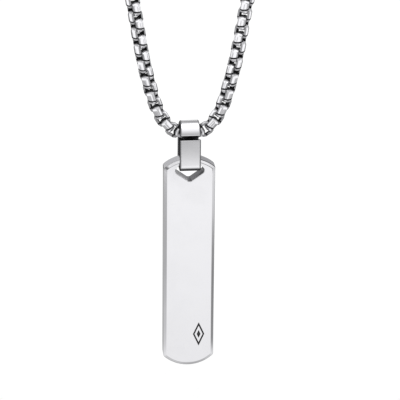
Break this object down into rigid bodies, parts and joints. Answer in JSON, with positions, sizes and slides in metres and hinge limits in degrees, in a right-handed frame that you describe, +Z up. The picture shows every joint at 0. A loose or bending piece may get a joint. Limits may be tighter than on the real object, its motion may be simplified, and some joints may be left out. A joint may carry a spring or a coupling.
{
  "type": "bar pendant necklace",
  "caption": "Polished steel bar pendant on a folded strap bail, hung on a closed loop of rounded box chain in the form it has when worn.",
  "frame": {"origin": "the middle of the clasp, where the chain sits on the nape of the neck", "axes": "+Z up, the front of the pendant faces -Y, and X runs from the wearer's right to the wearer's left"},
  "size_m": [0.1116, 0.1344, 0.2659],
  "materials": {
    "bar_steel": "mirror-polished stainless steel with fine wiping lines, the cut mark filled black",
    "bail_steel": "mirror-polished stainless steel strap with eased edges",
    "chain_steel": "tumble-polished stainless steel links with darker inner faces",
    "clasp_steel": "turned stainless steel with fine lathe lines"
  },
  "bodies": {
    "loop": {"chain": "chain_steel", "clasp": "clasp_steel"},
    "bail": {"bail": "bail_steel"},
    "bar": {"bar": "bar_steel"}
  },
  "joints": [
    {"name": "bail_swing", "type": "hinge", "parent": "loop", "child": "bail", "pos_m": [0, -0.13, -0.215], "axis": [1, 0, 0], "range_deg": [-90, 90]},
    {"name": "bar_rock", "type": "hinge", "parent": "bail", "child": "bar", "pos_m": [0, -0.13, -0.2213], "axis": [1, 0, 0], "range_deg": [-7, 7]}
  ]
}
